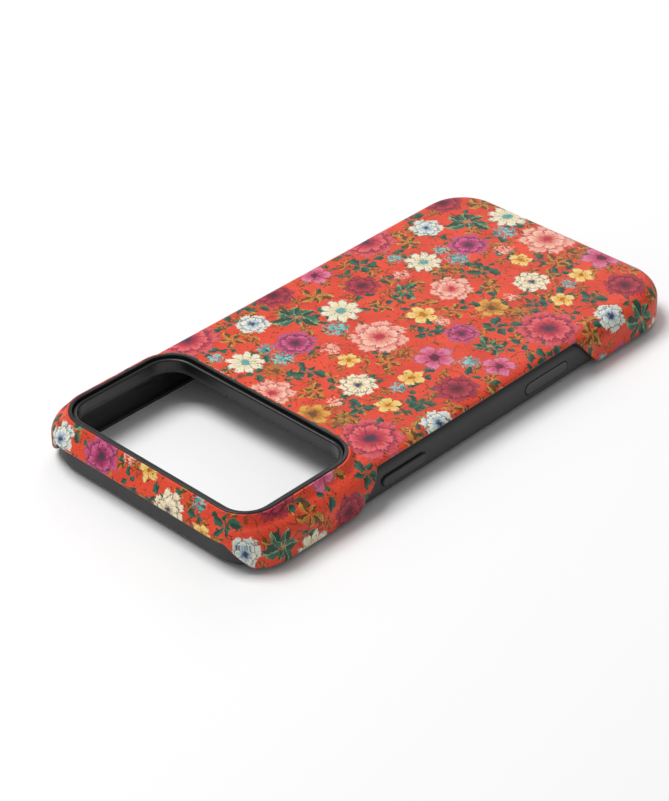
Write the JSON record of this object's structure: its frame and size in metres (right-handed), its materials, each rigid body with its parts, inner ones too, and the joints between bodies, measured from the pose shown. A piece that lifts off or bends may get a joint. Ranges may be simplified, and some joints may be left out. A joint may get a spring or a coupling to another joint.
{
  "type": "phone case",
  "caption": "Two-layer phone case: printed hard shell snapped over a soft liner, with raised camera surround, side notches, buttons and magnet ring.",
  "frame": {"origin": "middle of the footprint on the plane the front lip rests on", "axes": "+Z out of the back, -Y towards the camera end, +X towards the side button"},
  "size_m": [0.0768, 0.1571, 0.0141],
  "materials": {
    "printed_skin": "satin printed cork-flecked sheet",
    "shell_plastic": "matte moulded polycarbonate",
    "liner_rubber": "matte soft elastomer",
    "button_rubber": "matte soft elastomer",
    "pad_plastic": "matte touch film",
    "microfibre": "short napped microfibre",
    "tape_film": "black polyester film",
    "magnet_plating": "nickel plated"
  },
  "bodies": {
    "liner": {"inner_liner": "liner_rubber", "microfibre_lining": "microfibre"},
    "shell": {"outer_shell": "shell_plastic", "printed_skin": "printed_skin", "magnet_tape": "tape_film", "magnet_segments": "magnet_plating", "alignment_magnet": "magnet_plating"},
    "side_button": {"side_button": "button_rubber"},
    "action_button": {"action_button": "button_rubber"},
    "volume_up_button": {"volume_up_button": "button_rubber"},
    "volume_down_button": {"volume_down_button": "button_rubber"},
    "camera_control_pad": {"camera_control_pad": "pad_plastic"}
  },
  "joints": [
    {"name": "shell_lift", "type": "slide", "parent": "liner", "child": "shell", "axis": [0, 0, 1], "range_m": [0, 0.02]},
    {"name": "side_button_press", "type": "slide", "parent": "liner", "child": "side_button", "axis": [-1, 0, 0], "range_m": [0, 0.0003], "stiffness_N_per_m": 800},
    {"name": "camera_control_press", "type": "slide", "parent": "liner", "child": "camera_control_pad", "axis": [-1, 0, 0], "range_m": [0, 0.0002], "stiffness_N_per_m": 800},
    {"name": "action_button_press", "type": "slide", "parent": "liner", "child": "action_button", "axis": [1, 0, 0], "range_m": [0, 0.0003], "stiffness_N_per_m": 800},
    {"name": "volume_up_press", "type": "slide", "parent": "liner", "child": "volume_up_button", "axis": [1, 0, 0], "range_m": [0, 0.0003], "stiffness_N_per_m": 800},
    {"name": "volume_down_press", "type": "slide", "parent": "liner", "child": "volume_down_button", "axis": [1, 0, 0], "range_m": [0, 0.0003], "stiffness_N_per_m": 800}
  ]
}
